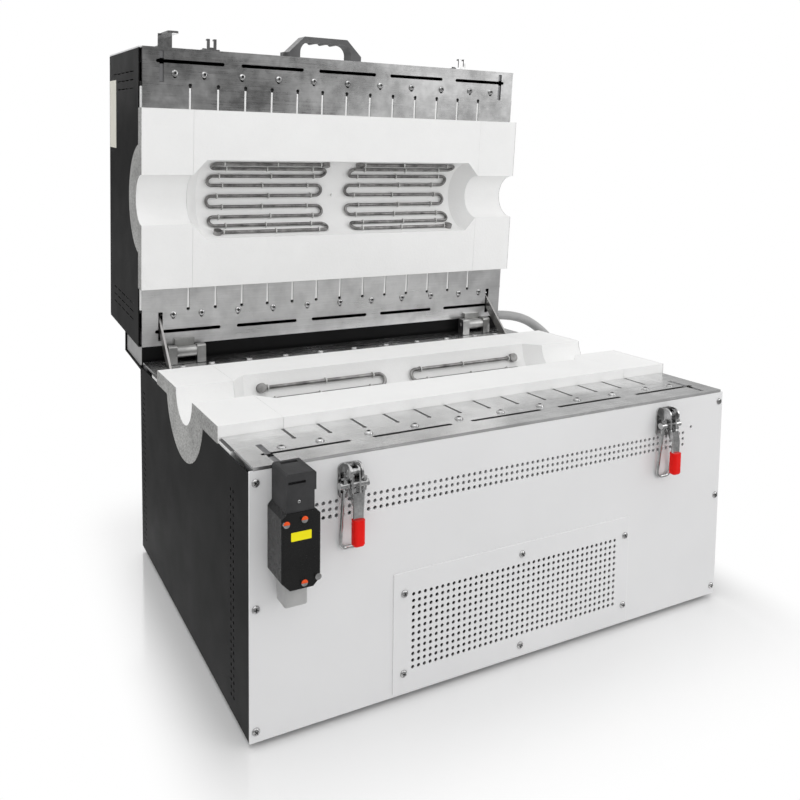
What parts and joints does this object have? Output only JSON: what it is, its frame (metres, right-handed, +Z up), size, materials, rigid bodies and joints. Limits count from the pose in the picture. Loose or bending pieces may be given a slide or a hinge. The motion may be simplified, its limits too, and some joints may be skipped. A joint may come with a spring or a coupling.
{
  "type": "split tube furnace",
  "caption": "Bench split tube furnace: hinged white and black housing, half-round fibre chamber with serpentine elements, stay bars, toggle clamps, safety switch and carry handle.",
  "frame": {"origin": "under the middle of the open furnace, on the surface it stands on", "axes": "+X to the right as seen from the front, +Y towards the hinges, +Z up"},
  "size_m": [0.8041, 0.716, 0.7772],
  "materials": {
    "panel_white": "satin powder coat, near white",
    "panel_black": "satin powder coat, black",
    "stainless": "brushed, with heat tint near the chamber",
    "ceramic": "rough, chalky",
    "element": "oxidised wire",
    "grip_red": "soft vinyl",
    "switch_black": "glossy",
    "plastic_grey": "fine texture",
    "conduit_grey": "smooth flexible",
    "zinc": "zinc plated",
    "bright_steel": "polished",
    "feet_rubber": "matt"
  },
  "bodies": {
    "base": {"access_panel": "panel_white", "base_front_panel": "panel_white", "base_left_panel": "panel_black", "base_right_panel": "panel_black", "base_rear_panel": "panel_black", "base_tray": "stainless", "base_frame": "stainless", "base_front_plate": "stainless", "base_rear_plate": "stainless", "base_ceramic_centre": "ceramic", "base_ceramic_ends": "ceramic", "base_backing": "ceramic", "terminal_block": "ceramic", "base_element_left": "element", "base_element_right": "element", "base_element_staples": "bright_steel", "panel_screws": "bright_steel", "base_plate_bolts": "bright_steel", "switch_screws": "bright_steel", "clamp_brackets": "bright_steel", "switch_body": "switch_black", "switch_head": "plastic_grey", "switch_plug": "plastic_grey", "base_hinge_leaves": "zinc", "hinge_pins": "zinc", "base_conduit_gland": "conduit_grey", "power_glands": "conduit_grey", "conduit": "conduit_grey", "base_feet": "feet_rubber"},
    "lid": {"lid_front_panel": "panel_white", "lid_left_panel": "panel_black", "lid_right_panel": "panel_black", "lid_rear_panel": "panel_black", "lid_top_cover": "panel_black", "lid_frame": "stainless", "lid_front_plate": "stainless", "lid_rear_plate": "stainless", "lid_ceramic_centre": "ceramic", "lid_ceramic_ends": "ceramic", "lid_backing": "ceramic", "lid_thermocouple": "ceramic", "lid_element_left": "element", "lid_element_right": "element", "lid_element_staples": "bright_steel", "lid_plate_bolts": "bright_steel", "lid_hinge_leaves": "zinc", "lid_conduit_gland": "conduit_grey", "carry_handle": "plastic_grey", "catch_hooks": "bright_steel", "safety_key": "bright_steel", "rear_duct": "panel_black", "rear_duct_ends": "conduit_grey"},
    "stay_left": {"stay_left": "stainless"},
    "stay_right": {"stay_right": "stainless"},
    "lever_left": {"clamp_lever_left": "bright_steel", "clamp_grip_left": "grip_red"},
    "lever_right": {"clamp_lever_right": "bright_steel", "clamp_grip_right": "grip_red"},
    "ubolt_left": {"clamp_ubolt_left": "bright_steel"},
    "ubolt_right": {"clamp_ubolt_right": "bright_steel"}
  },
  "joints": [
    {"name": "lid_hinge", "type": "hinge", "parent": "base", "child": "lid", "pos_m": [0, 0.13045, 0.29175], "axis": [1, 0, 0], "range_deg": [0, 86.4]},
    {"name": "stay_left_pin", "type": "hinge", "parent": "lid", "child": "stay_left", "pos_m": [-0.294, 0.1575, 0.34355], "axis": [1, 0, 0], "range_deg": [-17.5, 0]},
    {"name": "stay_right_pin", "type": "hinge", "parent": "lid", "child": "stay_right", "pos_m": [0.294, 0.1575, 0.34355], "axis": [1, 0, 0], "range_deg": [-17.5, 0]},
    {"name": "clamp_lever_left_pivot", "type": "hinge", "parent": "base", "child": "lever_left", "pos_m": [-0.219, -0.32705, 0.2625], "axis": [1, 0, 0], "range_deg": [-150, 0]},
    {"name": "clamp_ubolt_left_swing", "type": "hinge", "parent": "lever_left", "child": "ubolt_left", "pos_m": [-0.219, -0.32805, 0.25], "axis": [-1, 0, 0], "range_deg": [0, 193.8]},
    {"name": "clamp_lever_right_pivot", "type": "hinge", "parent": "base", "child": "lever_right", "pos_m": [0.219, -0.32705, 0.2625], "axis": [1, 0, 0], "range_deg": [-150, 0]},
    {"name": "clamp_ubolt_right_swing", "type": "hinge", "parent": "lever_right", "child": "ubolt_right", "pos_m": [0.219, -0.32805, 0.25], "axis": [-1, 0, 0], "range_deg": [0, 193.8]}
  ],
  "couplings": [
    {"joint": "stay_left_pin", "follows": "lid_hinge", "ratio": -0.2014},
    {"joint": "stay_right_pin", "follows": "lid_hinge", "ratio": -0.2014}
  ]
}
